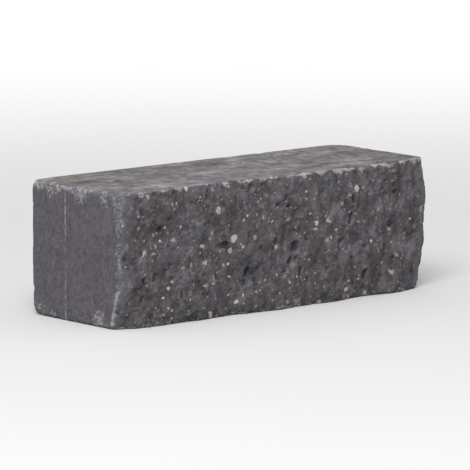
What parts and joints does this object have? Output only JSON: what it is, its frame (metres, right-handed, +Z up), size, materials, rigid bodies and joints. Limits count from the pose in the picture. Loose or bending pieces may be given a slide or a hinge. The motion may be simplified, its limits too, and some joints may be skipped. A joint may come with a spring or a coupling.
{
  "type": "wall block",
  "caption": "Solid split-face concrete wall block: rough split front, flat beds, ends and back, laid dry in courses for a garden or retaining wall.",
  "frame": {"origin": "middle of the lower bed, on the bottom plane of the block's box", "axes": "+X along the wall, -Y out of the split front, +Y out of the flat back, +Z up"},
  "size_m": [0.3, 0.11, 0.1],
  "materials": {
    "concrete": "rough"
  },
  "bodies": {
    "root": {"wall_block": "concrete"}
  },
  "joints": []
}
